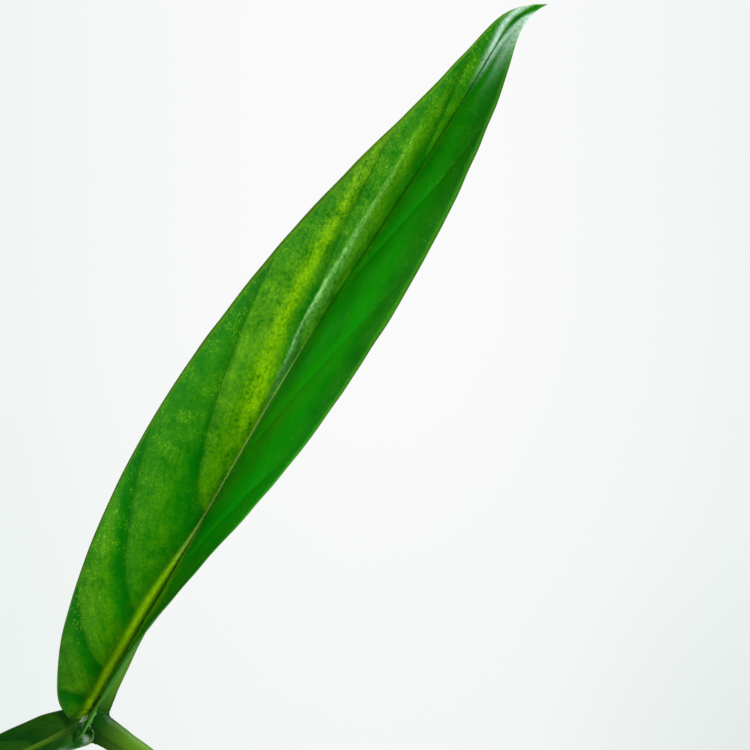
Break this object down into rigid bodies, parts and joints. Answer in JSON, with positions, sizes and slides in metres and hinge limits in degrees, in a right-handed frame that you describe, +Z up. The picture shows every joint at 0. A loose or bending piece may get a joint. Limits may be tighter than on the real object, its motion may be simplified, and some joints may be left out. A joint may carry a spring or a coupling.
{
  "type": "potted pothos plant",
  "caption": "Potted climbing foliage plant with long glossy lance-shaped leaves on arching stalks, short stems, and a plain round clay pot of mix.",
  "frame": {"origin": "centre of the pot's foot, on the surface it stands on", "axes": "+Z up along the pot's axis; -Y is the side that the tallest leaf's upper face looks to"},
  "size_m": [0.4038, 0.4036, 0.3513],
  "materials": {
    "clay": "matt fired clay",
    "potting_mix": "damp fibrous mix",
    "stem": "satin living stem",
    "leaf": "glossy living leaf",
    "new_leaf": "glossy living leaf",
    "root": "dry rough root",
    "sheath": "dry papery sheath"
  },
  "bodies": {
    "root": {"pot": "clay", "potting_mix": "potting_mix", "stem_a": "stem", "stem_b": "stem", "stem_c": "stem", "leaf_01": "leaf", "leaf_02": "leaf", "leaf_03": "leaf", "leaf_04": "leaf", "leaf_05": "leaf", "leaf_06": "leaf", "leaf_07": "leaf", "leaf_08": "leaf", "leaf_09": "leaf", "leaf_10": "leaf", "leaf_11": "leaf", "leaf_12": "leaf", "leaf_13": "leaf", "new_leaf_a": "new_leaf", "new_leaf_b": "new_leaf", "aerial_root_a": "root", "aerial_root_b": "root", "aerial_root_c": "root", "sheath_a": "sheath", "sheath_b": "sheath", "sheath_c": "sheath"}
  },
  "joints": []
}
